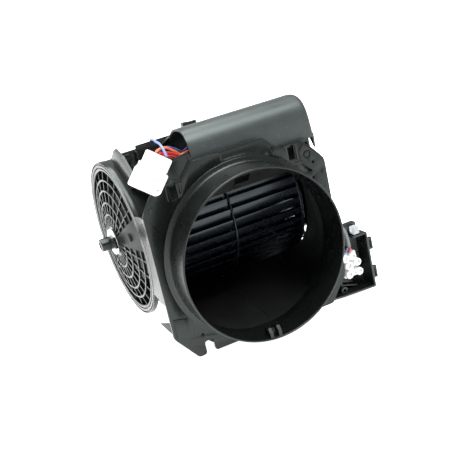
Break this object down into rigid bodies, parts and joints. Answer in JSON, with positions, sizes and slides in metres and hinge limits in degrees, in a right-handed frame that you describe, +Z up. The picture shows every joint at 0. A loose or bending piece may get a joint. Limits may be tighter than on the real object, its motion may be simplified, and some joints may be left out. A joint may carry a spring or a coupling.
{
  "type": "cooker hood blower",
  "caption": "Double-inlet centrifugal blower with a scroll housing, a round outlet duct collar, domed inlet grilles, and a motor inside its wheel.",
  "frame": {"origin": "centre of the round outlet, on the front plate's front face", "axes": "-Y points out of the outlet, +X runs along the wheel's shaft from the motor side to the terminal tray's side, +Z is up"},
  "size_m": [0.2416, 0.1943, 0.2044],
  "materials": {
    "housing_black": "glossy dark moulded plastic",
    "cover_grey": "satin dark grey moulded plastic",
    "wheel_black": "satin blue-black moulded plastic",
    "nylon_white": "white nylon",
    "steel_zinc": "zinc-plated or ground steel",
    "motor_aluminium": "die-cast, dull",
    "core_steel": "dull laminated steel",
    "copper": "varnished copper wire",
    "capacitor_grey": "light grey plastic can",
    "insulation_violet": "wire insulation",
    "insulation_orange": "wire insulation",
    "insulation_red": "wire insulation",
    "insulation_light_blue": "wire insulation",
    "insulation_blue": "wire insulation",
    "sheath_grey": "lead sheath"
  },
  "bodies": {
    "housing": {"bearing_left": "steel_zinc", "bearing_right": "steel_zinc", "cable_clip": "housing_black", "capacitor": "capacitor_grey", "clear_tag": "nylon_white", "connector_plug": "nylon_white", "connector_socket": "nylon_white", "front_plate": "housing_black", "hub_cushion": "nylon_white", "hub_plug_right": "housing_black", "inlet_grille_left": "housing_black", "inlet_grille_right": "housing_black", "motor_end_left": "motor_aluminium", "motor_end_right": "motor_aluminium", "motor_mount_boss": "housing_black", "motor_post_1": "steel_zinc", "motor_post_2": "steel_zinc", "motor_post_3": "steel_zinc", "outlet_collar": "housing_black", "plate_screw_1": "steel_zinc", "plate_screw_2": "steel_zinc", "plate_screw_3": "steel_zinc", "plate_screw_4": "steel_zinc", "scroll_shell_left": "housing_black", "scroll_shell_right": "housing_black", "stator_core": "core_steel", "terminal_block": "nylon_white", "terminal_screw_1": "steel_zinc", "terminal_screw_2": "steel_zinc", "terminal_screw_3": "steel_zinc", "terminal_screw_4": "steel_zinc", "terminal_screw_5": "steel_zinc", "terminal_screw_6": "steel_zinc", "terminal_tray": "housing_black", "tray_lead": "sheath_grey", "tray_wire_blue": "insulation_blue", "tray_wire_red": "insulation_red", "winding_left": "copper", "winding_right": "copper", "wire_cover": "cover_grey", "wire_grommet": "nylon_white", "wire_light_blue": "insulation_light_blue", "wire_orange": "insulation_orange", "wire_red_lower": "insulation_red", "wire_red_upper": "insulation_red", "wire_trough": "housing_black", "wire_violet": "insulation_violet"},
    "rotor": {"shaft": "steel_zinc", "rotor_core": "core_steel", "wheel_disc": "wheel_black", "wheel_left": "wheel_black", "wheel_right": "wheel_black", "wheel_nut": "steel_zinc"}
  },
  "joints": [
    {"name": "wheel_spin", "type": "hinge", "parent": "housing", "child": "rotor", "pos_m": [0, 0.088, 0.0177], "axis": [1, 0, 0], "continuous": true}
  ]
}
